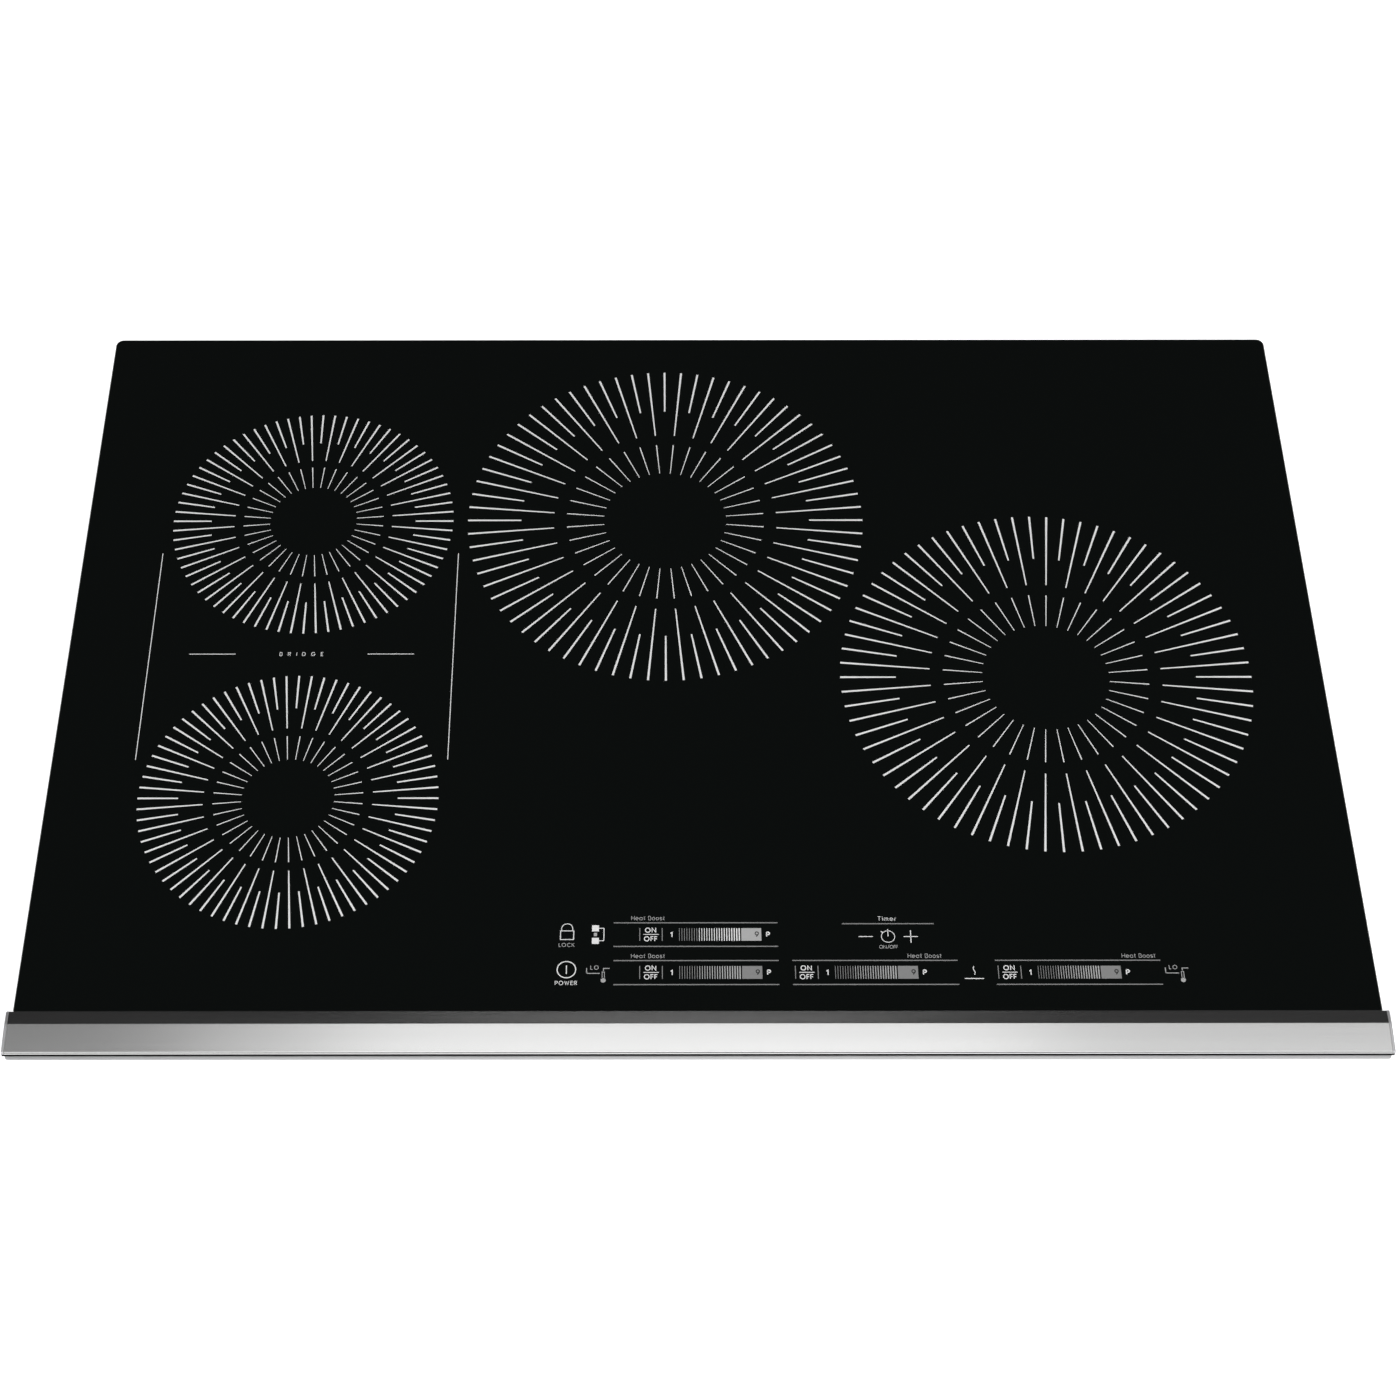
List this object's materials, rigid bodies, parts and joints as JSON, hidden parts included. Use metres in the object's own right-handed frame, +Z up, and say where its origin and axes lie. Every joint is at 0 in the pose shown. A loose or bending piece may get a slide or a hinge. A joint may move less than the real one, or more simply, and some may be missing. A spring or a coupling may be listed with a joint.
{
  "type": "electric induction cooktop",
  "caption": "Built-in electric induction cooktop: black glass plate with printed cooking zones and touch controls, brushed front trim, vented steel box below.",
  "frame": {"origin": "middle of the whole part in plan, at the level of the box's underside", "axes": "+Z up, +Y away from the user towards the rear edge, +X to the user's right"},
  "size_m": [0.781, 0.54, 0.1052],
  "materials": {
    "black_glass": "polished glass-ceramic, printed in light grey",
    "black_rubber": "matt",
    "board_green": "solder mask",
    "brushed_trim": "lengthwise brushed",
    "carrier_plastic": "moulded",
    "choke_core": "wound core",
    "component_black": "moulded",
    "component_blue": "dipped",
    "fan_plastic": "moulded",
    "ferrite": "pressed and fired",
    "litz_copper": "enamelled copper wire",
    "mica": "laminated",
    "mill_aluminium": "mill finish",
    "plated_steel": "bright plated",
    "satin_aluminium": "satin",
    "sensor_ceramic": "glazed",
    "silicone": "satin",
    "spring_steel": "plain wire",
    "white_plastic": "moulded",
    "zinc_coated_steel": "zinc coated"
  },
  "bodies": {
    "cooktop": {"board_standoffs": "white_plastic", "box_screws": "plated_steel", "burner_box": "zinc_coated_steel", "capacitors": "component_blue", "clamp_bracket_left": "zinc_coated_steel", "clamp_bracket_right": "zinc_coated_steel", "coil_deck": "mill_aluminium", "coil_springs_centre_rear": "spring_steel", "coil_springs_left_front": "spring_steel", "coil_springs_left_rear": "spring_steel", "coil_springs_right_front": "spring_steel", "conduit_bushing": "plated_steel", "fan_housing_left": "fan_plastic", "fan_housing_right": "fan_plastic", "fan_motors": "fan_plastic", "filter_board": "board_green", "filter_chokes": "choke_core", "front_trim": "brushed_trim", "glass_adhesive": "silicone", "glass_top": "black_glass", "heatsink_left": "mill_aluminium", "heatsink_right": "mill_aluminium", "power_board_left": "board_green", "power_board_right": "board_green", "power_transistors": "component_black", "temperature_sensors": "sensor_ceramic", "terminal_block": "white_plastic", "touch_board": "board_green", "touch_board_holder": "white_plastic", "touch_springs": "spring_steel", "trim_carrier": "satin_aluminium", "trim_end_cap_left": "satin_aluminium", "trim_end_cap_right": "satin_aluminium", "trim_seal": "black_rubber", "worktop_gasket": "black_rubber"},
    "coil_left_front": {"coil_winding_left_front": "litz_copper", "coil_carrier_left_front": "carrier_plastic", "ferrite_bars_left_front": "ferrite", "mica_sheet_left_front": "mica"},
    "coil_left_rear": {"coil_winding_left_rear": "litz_copper", "coil_carrier_left_rear": "carrier_plastic", "ferrite_bars_left_rear": "ferrite", "mica_sheet_left_rear": "mica"},
    "coil_centre_rear": {"coil_winding_centre_rear": "litz_copper", "coil_carrier_centre_rear": "carrier_plastic", "ferrite_bars_centre_rear": "ferrite", "mica_sheet_centre_rear": "mica"},
    "coil_right_front": {"coil_winding_right_front": "litz_copper", "coil_carrier_right_front": "carrier_plastic", "ferrite_bars_right_front": "ferrite", "mica_sheet_right_front": "mica"},
    "fan_left": {"fan_impeller_left": "fan_plastic"},
    "clamp_screw_left": {"clamp_screw_left": "plated_steel"},
    "clamp_nut_left": {"clamp_nut_left": "plated_steel"},
    "clamp_arm_left": {"clamp_arm_left": "plated_steel"},
    "fan_right": {"fan_impeller_right": "fan_plastic"},
    "clamp_screw_right": {"clamp_screw_right": "plated_steel"},
    "clamp_nut_right": {"clamp_nut_right": "plated_steel"},
    "clamp_arm_right": {"clamp_arm_right": "plated_steel"}
  },
  "joints": [
    {"name": "coil_float_left_front", "type": "slide", "parent": "cooktop", "child": "coil_left_front", "axis": [0, 0, 1], "range_m": [-0.003, 0], "stiffness_N_per_m": 1500, "springref_m": 0.004, "deforming": ["coil_springs_left_front"]},
    {"name": "coil_float_left_rear", "type": "slide", "parent": "cooktop", "child": "coil_left_rear", "axis": [0, 0, 1], "range_m": [-0.003, 0], "stiffness_N_per_m": 1500, "springref_m": 0.004, "deforming": ["coil_springs_left_rear"]},
    {"name": "coil_float_centre_rear", "type": "slide", "parent": "cooktop", "child": "coil_centre_rear", "axis": [0, 0, 1], "range_m": [-0.003, 0], "stiffness_N_per_m": 1500, "springref_m": 0.004, "deforming": ["coil_springs_centre_rear"]},
    {"name": "coil_float_right_front", "type": "slide", "parent": "cooktop", "child": "coil_right_front", "axis": [0, 0, 1], "range_m": [-0.003, 0], "stiffness_N_per_m": 1500, "springref_m": 0.004, "deforming": ["coil_springs_right_front"]},
    {"name": "fan_spin_left", "type": "hinge", "parent": "cooktop", "child": "fan_left", "pos_m": [-0.255, -0.105, 0.017], "axis": [0, 0, 1], "continuous": true},
    {"name": "clamp_screw_turn_left", "type": "hinge", "parent": "cooktop", "child": "clamp_screw_left", "pos_m": [-0.3605, 0, 0.05], "axis": [0, 0, 1], "range_deg": [0, 17280]},
    {"name": "clamp_lift_left", "type": "slide", "parent": "cooktop", "child": "clamp_nut_left", "axis": [0, 0, 1], "range_m": [0, 0.038]},
    {"name": "clamp_swing_left", "type": "hinge", "parent": "clamp_nut_left", "child": "clamp_arm_left", "pos_m": [-0.3605, 0, 0.0317], "axis": [0, 0, -1], "range_deg": [0, 90]},
    {"name": "fan_spin_right", "type": "hinge", "parent": "cooktop", "child": "fan_right", "pos_m": [0.255, -0.105, 0.017], "axis": [0, 0, 1], "continuous": true},
    {"name": "clamp_screw_turn_right", "type": "hinge", "parent": "cooktop", "child": "clamp_screw_right", "pos_m": [0.3605, 0, 0.05], "axis": [0, 0, 1], "range_deg": [0, 17280]},
    {"name": "clamp_lift_right", "type": "slide", "parent": "cooktop", "child": "clamp_nut_right", "axis": [0, 0, 1], "range_m": [0, 0.038]},
    {"name": "clamp_swing_right", "type": "hinge", "parent": "clamp_nut_right", "child": "clamp_arm_right", "pos_m": [0.3605, 0, 0.0317], "axis": [0, 0, 1], "range_deg": [0, 90]}
  ],
  "couplings": [
    {"joint": "clamp_screw_turn_left", "follows": "clamp_lift_left", "rad_per_m": 7854},
    {"joint": "clamp_screw_turn_right", "follows": "clamp_lift_right", "rad_per_m": 7854}
  ]
}
